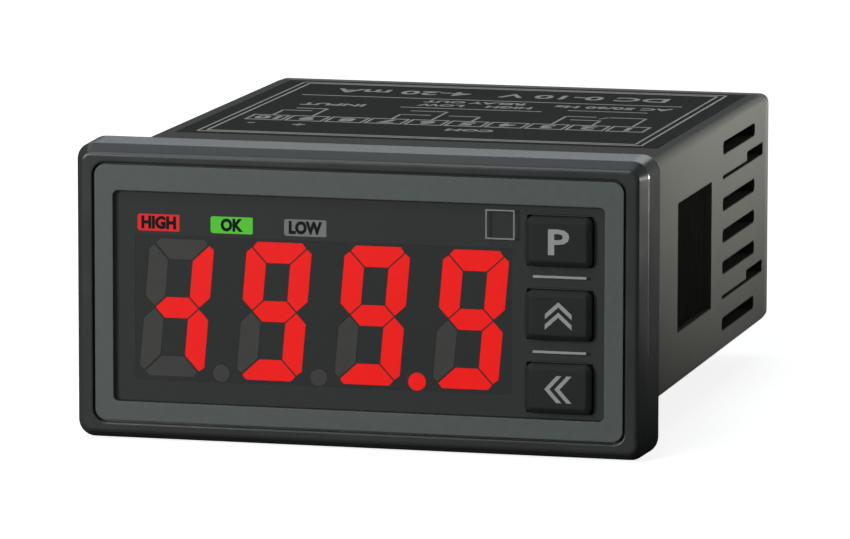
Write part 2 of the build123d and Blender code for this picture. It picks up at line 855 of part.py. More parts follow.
# Terminal block: the flange that closes the case, and a row of clamp chambers in front of it
latch_rear_y = case_length - latch_rear_wall
screw_well_width = 2 * (screw_head_radius + screw_head_gap)
screw_neck_width = 2 * (screw_shank_radius + neck_gap)
with BuildPart() as terminal_block:
    with BuildSketch(front_view(case_length)):
        with Locations((0, case_rise)):
            RectangleRounded(rear_width, case_height, case_edge_radius)
    extrude(amount=-flange_thickness)
    with BuildSketch(front_view(case_length)):
        with Locations((0, (block_bottom + block_top) / 2)):
            Rectangle(block_width, block_top - block_bottom)
    extrude(amount=block_depth)
    with Locations([(x, screw_y, (chamber_bottom + chamber_top) / 2) for x in pole_centres]):
        Box(chamber_width, chamber_depth, chamber_top - chamber_bottom, mode=Mode.SUBTRACT)
    with BuildSketch(front_view(rear_face_y)):
        with Locations([(x, wire_z) for x in pole_centres]):
            Rectangle(wire_width, wire_room)
    extrude(amount=rear_face_y - chamber_rear_y, mode=Mode.SUBTRACT)
    with BuildSketch(front_view(rear_face_y)):
        with Locations([(x, wire_z) for x in pole_centres]):
            Rectangle(mouth_size, mouth_size)
    extrude(
        amount=mouth_depth,
        taper=degrees(atan2((mouth_size - wire_room) / 2, mouth_depth)),
        mode=Mode.SUBTRACT,
    )
    with BuildSketch(Plane.XY.offset(block_bottom)):
        with Locations([(x, screw_y) for x in pole_centres]):
            Rectangle(screw_well_width, screw_well_width)
    extrude(amount=screw_head_top - block_bottom, mode=Mode.SUBTRACT)
    with BuildSketch(Plane.XY.offset(block_bottom)):
        with Locations([(x, screw_y) for x in pole_centres]):
            Rectangle(screw_neck_width, screw_neck_width)
    extrude(amount=chamber_bottom - block_bottom, mode=Mode.SUBTRACT)
    with BuildSketch(front_view(block_front_y)):
        with Locations([(x, (bar_bottom + bar_top) / 2) for x in pole_centres]):
            Rectangle(bar_width + 2 * bar_slot_gap, bar_thickness + 2 * bar_slot_gap)
    extrude(amount=-(chamber_rear_y - chamber_depth - block_front_y), mode=Mode.SUBTRACT)
    with BuildSketch(front_view(case_length)):
        with Locations([(x, (block_top + case_ceiling) / 2) for x in rear_vent_centres]):
            Rectangle(rear_vent_width, rear_vent_height)
    extrude(amount=-flange_thickness, mode=Mode.SUBTRACT)
    with BuildSketch(front_view(rear_face_y)):
        with Locations((0, (legend_low + legend_high) / 2)):
            Rectangle(rear_width - 2 * legend_side_margin, legend_high - legend_low)
    extrude(amount=legend_depth, mode=Mode.SUBTRACT)
    for side in (1, -1):
        for row_z in latch_rows:
            with BuildSketch(Plane.XY.offset(row_z - latch_height / 2 + latch_gap)):
                Polygon(
                    (side * (block_width / 2 - latch_arm_thickness), case_length),
                    (side * block_width / 2, case_length),
                    (side * block_width / 2, latch_rear_y - latch_gap),
                    (side * (block_width / 2 + latch_nose_depth), latch_rear_y - latch_gap),
                    (side * block_width / 2, latch_rear_y - latch_gap - latch_nose_length),
                    (side * block_width / 2, case_length - latch_arm_length),
                    (side * (block_width / 2 - latch_arm_thickness), case_length - latch_arm_length),
                    align=None,
                )
            extrude(amount=latch_height - 2 * latch_gap)
terminal_block.part.label = "terminal_block"
export_step(terminal_block.part, "parts/terminal_block.step")

# Contact bars: one flat bar through each clamp, bent down to the main board
with BuildPart() as contact_bars:
    bar_rear_y = chamber_rear_y - 2 * cage_gap
    tail_y = main_board_rear_y - tail_thickness
    with Locations([(x, (bar_rear_y + tail_y) / 2, (bar_bottom + bar_top) / 2) for x in pole_centres]):
        Box(bar_width, bar_rear_y - tail_y, bar_thickness)
    with Locations([(x, tail_y + tail_thickness / 2, (main_board_top + bar_top) / 2) for x in pole_centres]):
        Box(tail_width, tail_thickness, bar_top - main_board_top)
contact_bars.part.label = "contact_bars"
export_step(contact_bars.part, "parts/contact_bars.step")

# Terminal screws, reached from below, and the wire cages that they draw down
for number, x in enumerate(pole_centres, start=1):
    with BuildPart() as terminal_screw:
        with BuildSketch(Plane.XY.offset(screw_head_bottom)):
            with Locations((x, screw_y)):
                Circle(screw_head_radius)
        extrude(amount=screw_head_height)
        with BuildSketch(Plane.XY.offset(screw_head_top)):
            with Locations((x, screw_y)):
                Circle(screw_shank_radius)
        extrude(amount=bar_bottom - bar_tip_gap - screw_head_top)
        with BuildSketch(Plane.XY.offset(screw_head_bottom)):
            with Locations((x, screw_y)):
                Rectangle(2 * screw_head_radius, screw_slot_width)
        extrude(amount=screw_slot_depth, mode=Mode.SUBTRACT)
    terminal_screw.part.label = f"terminal_screw_{number}"
    export_step(terminal_screw.part, f"parts/terminal_screw_{number}.step")

    with BuildPart() as wire_cage:
        with BuildSketch(front_view(screw_y)):
            with Locations((x, (cage_bottom + cage_top) / 2)):
                Rectangle(cage_width, cage_top - cage_bottom)
            with Locations((x, (cage_bottom + cage_nut_wall + cage_window_top) / 2)):
                Rectangle(
                    cage_width - 2 * cage_side_wall,
                    cage_window_top - cage_bottom - cage_nut_wall,
                    mode=Mode.SUBTRACT,
                )
        extrude(amount=cage_depth / 2, both=True)
        with BuildSketch(Plane.XY.offset(cage_bottom)):
            with Locations((x, screw_y)):
                RegularPolygon(screw_shank_radius + thread_clearance, nut_hole_sides, major_radius=False)
        extrude(amount=cage_nut_wall, mode=Mode.SUBTRACT)
    wire_cage.part.label = f"wire_cage_{number}"
    export_step(wire_cage.part, f"parts/wire_cage_{number}.step")
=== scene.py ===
from math import cos, hypot, atan2, pi, radians, sin

import bpy
from mathutils import Matrix, Vector


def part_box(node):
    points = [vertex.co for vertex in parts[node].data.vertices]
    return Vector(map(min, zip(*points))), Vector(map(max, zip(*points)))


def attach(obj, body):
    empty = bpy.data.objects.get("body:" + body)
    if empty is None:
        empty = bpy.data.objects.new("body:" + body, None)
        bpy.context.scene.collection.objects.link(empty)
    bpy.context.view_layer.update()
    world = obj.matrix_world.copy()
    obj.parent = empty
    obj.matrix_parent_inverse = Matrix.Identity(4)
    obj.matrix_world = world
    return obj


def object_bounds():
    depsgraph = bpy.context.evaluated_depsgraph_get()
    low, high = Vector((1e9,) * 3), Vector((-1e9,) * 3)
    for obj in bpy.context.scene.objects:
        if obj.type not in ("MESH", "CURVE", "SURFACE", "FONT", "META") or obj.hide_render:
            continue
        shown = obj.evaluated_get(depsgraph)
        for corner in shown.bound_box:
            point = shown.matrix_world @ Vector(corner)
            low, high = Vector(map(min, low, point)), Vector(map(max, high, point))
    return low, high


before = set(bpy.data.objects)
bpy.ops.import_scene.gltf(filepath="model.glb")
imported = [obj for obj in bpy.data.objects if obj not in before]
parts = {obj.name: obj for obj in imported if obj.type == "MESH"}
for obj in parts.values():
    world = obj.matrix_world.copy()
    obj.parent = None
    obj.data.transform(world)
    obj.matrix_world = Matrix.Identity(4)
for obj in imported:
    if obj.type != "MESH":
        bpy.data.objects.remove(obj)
cad_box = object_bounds()

# Bezel. One injection moulding in satin black plastic, with a straight land, a sloping flank and a narrow
# flat rim around the film. It snaps into the case with a tab on each side.


def colour(red, green, blue):
    """A screen colour, 0 to 255 each, as the linear values that a shader takes."""
    return tuple(
        c / 255 / 12.92 if c <= 10 else ((c / 255 + 0.055) / 1.055) ** 2.4 for c in (red, green, blue)
    ) + (1.0,)


def new_group(name, inputs, outputs):
    """An empty node group with its named sockets, and its input and output nodes."""
    group = bpy.data.node_groups.new(name, "ShaderNodeTree")
    for label, value in inputs:
        socket = group.interface.new_socket(label, in_out="INPUT", socket_type="NodeSocketFloat")
        socket.default_value = value
    for label in outputs:
        group.interface.new_socket(label, in_out="OUTPUT", socket_type="NodeSocketFloat")
    return group, group.nodes.new("NodeGroupInput"), group.nodes.new("NodeGroupOutput")


# The spark-eroded grain of a mould, as a height, with a slow mottle over it
grain, grain_in, grain_out = new_group(
    "moulded_grain", (("Fineness", 6000.0), ("Mottle Fineness", 250.0)), ("Height", "Mottle")
)
place = grain.nodes.new("ShaderNodeTexCoord")
pits = grain.nodes.new("ShaderNodeTexNoise")
pits.inputs["Detail"].default_value = 3.0
pits.inputs["Roughness"].default_value = 0.6
cloud = grain.nodes.new("ShaderNodeTexNoise")
cloud.inputs["Detail"].default_value = 4.0
grain.links.new(place.outputs["Object"], pits.inputs["Vector"])
grain.links.new(place.outputs["Object"], cloud.inputs["Vector"])
grain.links.new(grain_in.outputs["Fineness"], pits.inputs["Scale"])
grain.links.new(grain_in.outputs["Mottle Fineness"], cloud.inputs["Scale"])
grain.links.new(pits.outputs["Fac"], grain_out.inputs["Height"])
grain.links.new(cloud.outputs["Fac"], grain_out.inputs["Mottle"])


def moulded(name, dark, light, gloss, depth=0.25, fineness=6000.0, mottle=250.0, edge=0.0):
    """A plastic with grain: two close colours that the mottle mixes, and a roughness that varies with it."""
    material = bpy.data.materials.new(name)
    material.use_nodes = True
    tree = material.node_tree
    shader = tree.nodes["Principled BSDF"]
    skin = tree.nodes.new("ShaderNodeGroup")
    skin.node_tree = grain
    skin.inputs["Fineness"].default_value = fineness
    skin.inputs["Mottle Fineness"].default_value = mottle
    tint = tree.nodes.new("ShaderNodeMix")
    tint.data_type = "RGBA"
    tint.inputs["A"].default_value = colour(*dark)
    tint.inputs["B"].default_value = colour(*light)
    tree.links.new(skin.outputs["Mottle"], tint.inputs["Factor"])
    tree.links.new(tint.outputs["Result"], shader.inputs["Base Color"])
    rough = tree.nodes.new("ShaderNodeMapRange")
    rough.inputs["To Min"].default_value = gloss - 0.06
    rough.inputs["To Max"].default_value = gloss + 0.06
    tree.links.new(skin.outputs["Mottle"], rough.inputs["Value"])
    tree.links.new(rough.outputs["Result"], shader.inputs["Roughness"])
    bump = tree.nodes.new("ShaderNodeBump")
    bump.inputs["Strength"].default_value = depth
    bump.inputs["Distance"].default_value = 0.00002
    tree.links.new(skin.outputs["Height"], bump.inputs["Height"])
    tree.links.new(bump.outputs["Normal"], shader.inputs["Normal"])
    if edge:
        rounding = tree.nodes.new("ShaderNodeBevel")
        rounding.samples = 6
        rounding.inputs["Radius"].default_value = edge
        tree.links.new(rounding.outputs["Normal"], bump.inputs["Normal"])
    return material


def dress(node, material):
    """Gives a part of the frame its finish."""
    mesh = parts[node].data
    mesh.materials.clear()
    mesh.materials.append(material)


bezel_black = moulded(
    "bezel_black", (55, 58, 57), (61, 64, 63), 0.23, depth=0.08, fineness=5000.0, edge=0.00025
)
dress("front_bezel", bezel_black)

# Front film. A die-cut polyester sheet, printed grey on its back and finely textured in front, which is
# glued into the bezel's shallow recess.

film_grey = moulded(
    "film_grey", (76, 84, 82), (88, 96, 94), 0.5, depth=0.1, fineness=9000.0, mottle=1500.0, edge=0.00012
)
dress("front_film", film_grey)

# Window. Smoked acrylic, matt in front, bonded behind the film. Its face carries a thin grey square for
# the unit and two short rules between the keys, and its back a dark grey mask around the digits.

def set_socket(material, label, value):
    """Sets a value that is the same all over a finish."""
    material.node_tree.nodes["Principled BSDF"].inputs[label].default_value = value


smoke = moulded("window_smoke", (20, 21, 21), (30, 32, 32), 0.42, depth=0.06, fineness=9000.0, mottle=1500.0)
set_socket(smoke, "Alpha", 0.3)
set_socket(smoke, "Specular IOR Level", 0.25)
dress("display_window", smoke)

MM = 0.001
INK = 0.012 * MM
READ_FROM_FRONT = (pi / 2, 0, 0)


def joined(pieces_of_print, name):
    """Joins strokes or lettering into one mesh whose place is in its vertices."""
    bpy.ops.object.select_all(action="DESELECT")
    for piece in pieces_of_print:
        piece.select_set(True)
    bpy.context.view_layer.objects.active = pieces_of_print[0]
    if len(pieces_of_print) > 1:
        bpy.ops.object.join()
    ink = bpy.context.object
    ink.name = ink.data.name = name
    bpy.ops.object.transform_apply(location=True, rotation=True, scale=True)
    return ink


def drawn(strokes, name, thickness=INK):
    """Joins flat strokes into one mesh on the XY plane and gives it the thickness of an ink layer."""
    ink = joined(strokes, name)
    bpy.ops.object.mode_set(mode="EDIT")
    bpy.ops.mesh.select_all(action="SELECT")
    bpy.ops.mesh.extrude_region_move(TRANSFORM_OT_translate={"value": (0, 0, thickness)})
    bpy.ops.mesh.select_all(action="SELECT")
    bpy.ops.mesh.normals_make_consistent(inside=False)
    bpy.ops.object.mode_set(mode="OBJECT")
    return ink


def stroke(x0, y0, x1, y1, width):
    """One straight stroke of a drawing between two points, all in millimetres."""
    bpy.ops.object.select_all(action="DESELECT")
    middle = ((x0 + x1) / 2 * MM, (y0 + y1) / 2 * MM, 0)
    bpy.ops.mesh.primitive_plane_add(size=1, location=middle, rotation=(0, 0, atan2(y1 - y0, x1 - x0)))
    bpy.context.object.scale = (hypot(x1 - x0, y1 - y0) * MM, width * MM, 1)
    return bpy.context.object


def framed(x, y, across, high, width):
    """The four strokes of a rectangle about a centre."""
    left, right, low, top = x - across / 2, x + across / 2, y - high / 2, y + high / 2
    half = width / 2
    return [
        stroke(left - half, low, right + half, low, width),
        stroke(left - half, top, right + half, top, width),
        stroke(left, low + half, left, top - half, width),
        stroke(right, low + half, right, top - half, width),
    ]


def seat_print(ink, at, turn):
    """Puts a finished drawing in its place, given in millimetres, and leaves its object at the origin."""
    bpy.ops.object.select_all(action="DESELECT")
    ink.select_set(True)
    bpy.context.view_layer.objects.active = ink
    ink.location = [v * MM for v in at]
    ink.rotation_euler = turn
    bpy.ops.object.transform_apply(location=True, rotation=True, scale=True)


def finish_print(ink, material, body):
    """Inks a drawing and fixes it to what carries it."""
    ink.data.materials.clear()
    ink.data.materials.append(material)
    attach(ink, body)


window_low, window_high = (Vector(c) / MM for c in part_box("display_window"))
module_low, module_high = (Vector(c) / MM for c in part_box("display_module"))
guides = [[Vector(c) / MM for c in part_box(f"indicator_{number}")] for number in (1, 2, 3)]
key_flange = 0.33
key_boxes = [[Vector(c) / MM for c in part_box(f"{key}_cap")] for key in ("key_mode", "key_up", "key_shift")]
key_left, key_right = key_boxes[0][0].x + key_flange, key_boxes[0][1].x - key_flange
edge_inset, mask_thickness, mask_depth = 0.03, 0.02, 0.04
left, right = window_low.x + edge_inset, window_high.x - edge_inset
low, top = window_low.z + edge_inset, window_high.z - edge_inset
open_left, open_right = module_low.x + edge_inset, module_high.x - edge_inset
open_low, open_top = module_low.z + edge_inset, module_high.z - edge_inset
guide_low, guide_top = guides[0][0].z, guides[0][1].z


def strip(x0, z0, x1, z1):
    """A filled rectangle between two corners."""
    return stroke(x0, (z0 + z1) / 2, x1, (z0 + z1) / 2, z1 - z0)


mask_strips = [
    strip(left, low, open_left, open_top),
    strip(left, guide_top, open_right, top),
    strip(open_left, low, open_right, open_low),
    strip(open_right, low, key_left, top),
    strip(key_right, low, right, top),
    strip(left, open_top, open_right, guide_low),
]
guide_edges = [left] + [x for guide in guides for x in (guide[0].x, guide[1].x)] + [open_right]
for x0, x1 in zip(guide_edges[::2], guide_edges[1::2]):
    mask_strips.append(strip(x0, guide_low, x1, guide_top))
key_edges = [top] + [z for box in key_boxes for z in (box[1].z - key_flange, box[0].z + key_flange)] + [low]
for upper, lower in zip(key_edges[::2], key_edges[1::2]):
    mask_strips.append(strip(key_left, lower, key_right, upper))
window_mask = drawn(mask_strips, "window_mask", mask_thickness * MM)
seat_print(window_mask, (0, window_high.y - mask_depth, 0), READ_FROM_FRONT)
mask_grey = moulded("mask_grey", (65, 68, 67), (72, 75, 74), 0.7, depth=0.2, mottle=1200.0)
finish_print(window_mask, mask_grey, "housing")
window_mask.visible_shadow = False
window_face = window_low.y

screen_grain = {"depth": 0.3, "fineness": 12000.0, "mottle": 3000.0}
ink_grey = moulded("ink_grey", (150, 151, 149), (178, 179, 176), 0.6, **screen_grain)
ink_thin = moulded("ink_thin", (128, 130, 129), (150, 152, 150), 0.6, **screen_grain)
square_x, square_z, square_side, square_line = 11.9, 6.8, 2.3, 0.12
unit_square = drawn(framed(0, 0, square_side, square_side, square_line), "unit_square")
seat_print(unit_square, (square_x, window_face, square_z), READ_FROM_FRONT)
finish_print(unit_square, ink_thin, "housing")
rule_x, rule_heights, rule_length, rule_line = 16.85, (2.7, -3.42), 4.4, 0.2
for number, height in enumerate(rule_heights, start=1):
    rule = drawn([stroke(-rule_length / 2, 0, rule_length / 2, 0, rule_line)], f"key_rule_{number}")
    seat_print(rule, (rule_x, window_face, height), READ_FROM_FRONT)
    finish_print(rule, ink_grey, "housing")

# Display module. One black moulding with a well for each segment. The segments and points are cast in
# clear epoxy; those that are lit glow red, and the others stay grey.

module_black = moulded("module_black", (87, 90, 89), (94, 97, 96), 0.7, depth=0.2, mottle=1200.0)
dress("display_module", module_black)


def lens(name, base, glow, strength):
    """Cast epoxy over a lamp: the colour falls off a little where the lamp's light is thinner. Over an unlit
    lamp the glow is a painted glow.
    """
    material = moulded(name, base, base, 0.4, depth=0.1, fineness=4000.0)
    tree = material.node_tree
    shader = tree.nodes["Principled BSDF"]
    spread = tree.nodes.new("ShaderNodeTexNoise")
    spread.inputs["Scale"].default_value = 500.0
    where = tree.nodes.new("ShaderNodeTexCoord")
    tree.links.new(where.outputs["Object"], spread.inputs["Vector"])
    tint = tree.nodes.new("ShaderNodeMix")
    tint.data_type = "RGBA"
    tint.inputs["A"].default_value = [0.94 * c for c in colour(*glow)[:3]] + [1.0]
    tint.inputs["B"].default_value = colour(*glow)
    tree.links.new(spread.outputs["Fac"], tint.inputs["Factor"])
    tree.links.new(tint.outputs["Result"], shader.inputs["Emission Color"])
    shader.inputs["Emission Strength"].default_value = strength
    return material


dress("segments_lit", lens("lens_lit", (100, 6, 4), (246, 8, 2), 1.75))
dress("segments_dark", moulded("lens_dark", (128, 128, 124), (136, 136, 132), 0.45, depth=0.15, mottle=900.0))

# Indicators. Three light guides in a black holder bar over the digits, one red, one green and one unlit,
# each with a short legend in black on its face, under the window.

dress("indicator_holder", module_black)
dress("indicator_1", lens("guide_red", (110, 12, 12), (236, 34, 36), 1.5))
dress("indicator_2", lens("guide_green", (24, 90, 18), (84, 200, 52), 1.7))
# The unlit guide still gets a faint grey emission: a painted glow that lightens it, not light of its own.
dress("indicator_3", lens("guide_grey", (206, 210, 208), (130, 134, 133), 0.45))


def lettered(words, size, across, weight, name):
    """Lettering on the XY plane, centred, size and width in millimetres, made a thin mesh."""
    bpy.ops.object.select_all(action="DESELECT")
    bpy.ops.object.text_add()
    text = bpy.context.object
    text.data.body = words
    text.data.size = size * MM
    text.data.align_x = "CENTER"
    text.data.align_y = "CENTER"
    text.data.offset = weight * MM
    text.data.resolution_u = 3
    text.data.extrude = INK / 2
    bpy.ops.object.convert(target="MESH")
    ink = bpy.context.object
    ink.name = ink.data.name = name
    low = Vector(ink.bound_box[0])
    high = Vector(ink.bound_box[6])
    ink.location = (low + high) / -2
    bpy.ops.object.transform_apply(location=True, rotation=False, scale=False)
    if across:
        ink.scale.x = across * MM / (high.x - low.x)
        bpy.ops.object.transform_apply(location=False, rotation=False, scale=True)
    return ink


ink_black = moulded("ink_black", (4, 4, 4), (10, 10, 10), 0.7, depth=0.2, fineness=12000.0, mottle=3000.0)
set_socket(ink_black, "Specular IOR Level", 0.05)
legend_size, legend_weight = 1.34, 0.075
legends = ((1, "HIGH", 2.95, "red"), (2, "OK", 1.9, "green"), (3, "LOW", 2.8, "grey"))
for number, words, across, tone in legends:
    low, high = guides[number - 1]
    legend = lettered(words, legend_size, across, legend_weight, f"legend_{number}")
    legend_place = ((low.x + high.x) / 2, low.y - INK / MM / 2, (low.z + high.z) / 2)
    seat_print(legend, legend_place, READ_FROM_FRONT)
    finish_print(legend, ink_black, "housing")

# Keys. Silicone-soft caps in matt dark grey, each domed a little over the window and printed with its
# own mark. Each pushes the ivory plunger of a small push switch on the board behind.

key_grey = moulded(
    "key_grey", (31, 33, 33), (38, 40, 40), 0.6, depth=0.2, fineness=8000.0, mottle=900.0, edge=0.0003
)
set_socket(key_grey, "Specular IOR Level", 0.25)
ivory = moulded("plunger_ivory", (196, 188, 168), (210, 203, 184), 0.5, mottle=600.0)
switch_black = moulded("switch_black", (18, 18, 19), (26, 26, 27), 0.5, mottle=600.0, edge=0.00008)
for key in ("key_mode", "key_up", "key_shift"):
    dress(f"{key}_cap", key_grey)
    dress(f"{key}_plunger", ivory)
    dress(f"{key}_switch", switch_black)


def chevron(across, rise, width, shift):
    """One flat chevron that points up along Y, made from a bar whose middle is raised."""
    bpy.ops.object.select_all(action="DESELECT")
    bpy.ops.mesh.primitive_plane_add(size=1)
    bar = bpy.context.object
    bar.scale = (across * MM, width * MM, 1)
    bpy.ops.object.transform_apply(location=False, rotation=False, scale=True)
    bpy.ops.object.mode_set(mode="EDIT")
    bpy.ops.mesh.select_all(action="SELECT")
    bpy.ops.mesh.subdivide(number_cuts=1)
    bpy.ops.mesh.select_all(action="DESELECT")
    bpy.ops.object.mode_set(mode="OBJECT")
    for vertex in bar.data.vertices:
        vertex.select = abs(vertex.co.x) < 1e-6
    bpy.ops.object.mode_set(mode="EDIT")
    bpy.ops.transform.translate(value=(0, rise * MM, 0))
    bpy.ops.object.mode_set(mode="OBJECT")
    bar.location.y = (shift - rise / 2) * MM
    return bar


def key_place(key):
    """The middle of a key's front, in millimetres."""
    low, high = (Vector(c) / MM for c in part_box(f"{key}_cap"))
    return ((low.x + high.x) / 2, low.y, (low.z + high.z) / 2)


letter_size, letter_width, letter_weight = 2.9, 1.75, 0.06
mark = lettered("P", letter_size, letter_width, letter_weight, "key_mode_mark")
x, y, z = key_place("key_mode")
seat_print(mark, (x, y - INK / MM / 2, z), READ_FROM_FRONT)
finish_print(mark, ink_grey, "key_mode")
arrow_width, arrow_rise, arrow_line, arrow_shift = 2.2, 1.0, 0.42, 0.42
for key, turn in (("key_up", 0), ("key_shift", pi / 2)):
    arrows = [chevron(arrow_width, arrow_rise, arrow_line, shift) for shift in (arrow_shift, -arrow_shift)]
    mark = drawn(arrows, f"{key}_mark")
    mark.rotation_euler = (0, 0, turn)
    bpy.ops.object.transform_apply(location=True, rotation=True, scale=True)
    seat_print(mark, key_place(key), READ_FROM_FRONT)
    finish_print(mark, ink_grey, key)

# Boards. Glass epoxy under green resist, with copper tracks that show through it as paler lines.

board_green = moulded("board_green", (20, 84, 44), (26, 96, 52), 0.35, depth=0.1, mottle=800.0)


def add_tracks(material, tone, cell):
    """Tracks under the resist: thin lines along the edges of a brick pattern."""
    tree = material.node_tree
    tint = tree.nodes["Mix"]
    where = tree.nodes.new("ShaderNodeTexCoord")
    brick = tree.nodes.new("ShaderNodeTexBrick")
    brick.offset = 0.37
    brick.inputs["Scale"].default_value = 1.0
    brick.inputs["Brick Width"].default_value = cell * 4
    brick.inputs["Row Height"].default_value = cell
    brick.inputs["Mortar Size"].default_value = cell * 0.14
    brick.inputs["Mortar Smooth"].default_value = 0.0
    for socket in ("Color1", "Color2"):
        brick.inputs[socket].default_value = (0, 0, 0, 1)
    brick.inputs["Mortar"].default_value = (1, 1, 1, 1)
    tree.links.new(where.outputs["Object"], brick.inputs["Vector"])
    over = tree.nodes.new("ShaderNodeMix")
    over.data_type = "RGBA"
    over.inputs["B"].default_value = colour(*tone)
    tree.links.new(brick.outputs["Color"], over.inputs["Factor"])
    tree.links.new(tint.outputs["Result"], over.inputs["A"])
    tree.links.new(over.outputs["Result"], tree.nodes["Principled BSDF"].inputs["Base Color"])


add_tracks(board_green, (52, 132, 78), 1.1 * MM)
dress("display_board", board_green)
dress("main_board", board_green)


def by_axis(material, axis, low, high, tone, metallic=False):
    """Gives the stretch between two heights along an axis another colour, such as pins or a band."""
    tree = material.node_tree
    shader = tree.nodes["Principled BSDF"]
    before = shader.inputs["Base Color"].links[0].from_socket
    where = tree.nodes.new("ShaderNodeTexCoord")
    split = tree.nodes.new("ShaderNodeSeparateXYZ")
    tree.links.new(where.outputs["Object"], split.inputs["Vector"])
    above = tree.nodes.new("ShaderNodeMath")
    above.operation = "GREATER_THAN"
    above.inputs[1].default_value = low * MM
    below = tree.nodes.new("ShaderNodeMath")
    below.operation = "LESS_THAN"
    below.inputs[1].default_value = high * MM
    both = tree.nodes.new("ShaderNodeMath")
    both.operation = "MULTIPLY"
    for test in (above, below):
        tree.links.new(split.outputs[axis], test.inputs[0])
    tree.links.new(above.outputs["Value"], both.inputs[0])
    tree.links.new(below.outputs["Value"], both.inputs[1])
    tint = tree.nodes.new("ShaderNodeMix")
    tint.data_type = "RGBA"
    tint.inputs["B"].default_value = colour(*tone)
    tree.links.new(both.outputs["Value"], tint.inputs["Factor"])
    tree.links.new(before, tint.inputs["A"])
    tree.links.new(tint.outputs["Result"], shader.inputs["Base Color"])
    if metallic:
        tree.links.new(both.outputs["Value"], shader.inputs["Metallic"])
    return material


header_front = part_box("board_header")[0][1] / MM
header_black = moulded("header_black", (16, 16, 17), (24, 24, 25), 0.45, mottle=600.0)
pin_gold = (206, 170, 90)
dress("board_header", by_axis(header_black, "Y", header_front - 1, header_front + 1, pin_gold, True))

# Transformer. A stack of thin steel sheets around a coil that is wrapped in yellow tape.

core_steel = moulded("core_steel", (88, 88, 90), (118, 118, 120), 0.4, depth=0.2, mottle=700.0)
set_socket(core_steel, "Metallic", 0.9)


def add_layers(material, axis, pitch, depth):
    """Fine steps across an axis, such as stacked sheets or the turns of a tape."""
    tree = material.node_tree
    where = tree.nodes.new("ShaderNodeTexCoord")
    wave = tree.nodes.new("ShaderNodeTexWave")
    wave.bands_direction = axis
    wave.inputs["Scale"].default_value = pi / 10 / (pitch * MM)
    wave.inputs["Distortion"].default_value = 0.0
    tree.links.new(where.outputs["Object"], wave.inputs["Vector"])
    old = tree.nodes["Bump"]
    layers = tree.nodes.new("ShaderNodeBump")
    layers.inputs["Strength"].default_value = depth
    layers.inputs["Distance"].default_value = 0.00005
    tree.links.new(wave.outputs["Fac"], layers.inputs["Height"])
    tree.links.new(layers.outputs["Normal"], old.inputs["Normal"])
    return material


dress("transformer_core", add_layers(core_steel, "Y", 0.5, 0.7))
coil_tape = moulded("coil_tape", (198, 156, 30), (214, 174, 44), 0.3, depth=0.1, mottle=500.0)
dress("transformer_coil", add_layers(coil_tape, "Z", 2.1, 0.5))

# Relays, capacitors and processor. The relays are sealed black cases, the capacitors aluminium cans in a
# dark sleeve with a pale stripe, and the processor a flat black package with tinned leads.

relay_black = moulded("relay_black", (24, 24, 26), (32, 32, 34), 0.5, depth=0.4, mottle=500.0, edge=0.0001)
dress("relay_1", relay_black)
dress("relay_2", relay_black)
for can in ("capacitor_large", "capacitor_small"):
    low, high = (Vector(c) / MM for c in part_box(can))
    sleeve = moulded(f"{can}_sleeve", (22, 26, 44), (28, 33, 54), 0.3, depth=0.1)
    by_axis(sleeve, "X", low.x - 1, low.x + 0.8, (176, 180, 190))
    dress(can, by_axis(sleeve, "Z", high.z - 0.02, high.z + 1, (190, 190, 192), True))
low, high = (Vector(c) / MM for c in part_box("processor_chip"))
chip_black = moulded("chip_black", (20, 20, 21), (30, 30, 31), 0.55, depth=0.5, mottle=900.0)
dress("processor_chip", by_axis(chip_black, "Z", low.z - 1, low.z + 0.26, (188, 188, 184), True))

# Case. One sleeve moulding in warm grey, finely eroded outside, with a collar, vents, latch windows with
# a thin slit, and a rack on each side for the mounting bracket.

case_grey = moulded(
    "case_grey", (83, 84, 80), (93, 94, 90), 0.7, depth=0.3, fineness=5000.0, mottle=200.0, edge=0.00025
)
set_socket(case_grey, "Specular IOR Level", 0.05)
dress("case_shell", case_grey)

# Wiring label. Matt dark film with light print, in a shallow recess on the top. It reads from the rear:
# a frame, a row of ten numbered boxes and the leads that rise from them.

label_film = moulded("label_film", (44, 45, 44), (52, 53, 51), 0.72, depth=0.3, fineness=7000.0, mottle=300.0)
set_socket(label_film, "Specular IOR Level", 0.03)
dress("wiring_label", label_film)
label_low, label_high = (Vector(c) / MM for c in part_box("wiring_label"))
ink_label = moulded(
    "ink_label", (158, 156, 149), (186, 184, 176), 0.6, depth=0.3, fineness=12000.0, mottle=4000.0
)
READ_FROM_REAR = (0, 0, pi)
label_middle = ((label_low.x + label_high.x) / 2, (label_low.y + label_high.y) / 2)
label_lines = []
upright, level_line = 0.18, 0.32
for across, along in ((38.2, 34.6), (36.9, 33.2)):
    for side in (-0.5, 0.5):
        x, y = side * across, side * along
        inside = across / 2 - upright / 2
        label_lines.append(stroke(x, -along / 2, x, along / 2, upright))
        label_lines.append(stroke(-inside, y, inside, y, level_line))
box_pitch, box_width, box_depth, box_line, row = 3.5, 3.1, 3.4, 0.3, 7.2
for i in range(10):
    x = (i - 4.5) * box_pitch
    for side in (-0.5, 0.5):
        edge, end = x + side * box_width, row + side * (box_depth - box_line)
        label_lines.append(stroke(edge, row - box_depth / 2, edge, row + box_depth / 2, 0.2))
        label_lines.append(stroke(x - 1.45, end, x + 1.45, end, box_line))
leads = (
    (-15.75, 5.4), (-12.25, 3.2), (-8.75, 5.4), (-1.75, 3.0),
    (1.75, 5.6), (5.25, 3.0), (12.25, 5.0), (15.75, 3.4),
)
lead_top = row - box_depth / 2
for x, length in leads:
    label_lines.append(stroke(x, lead_top, x, lead_top - length, 0.2))
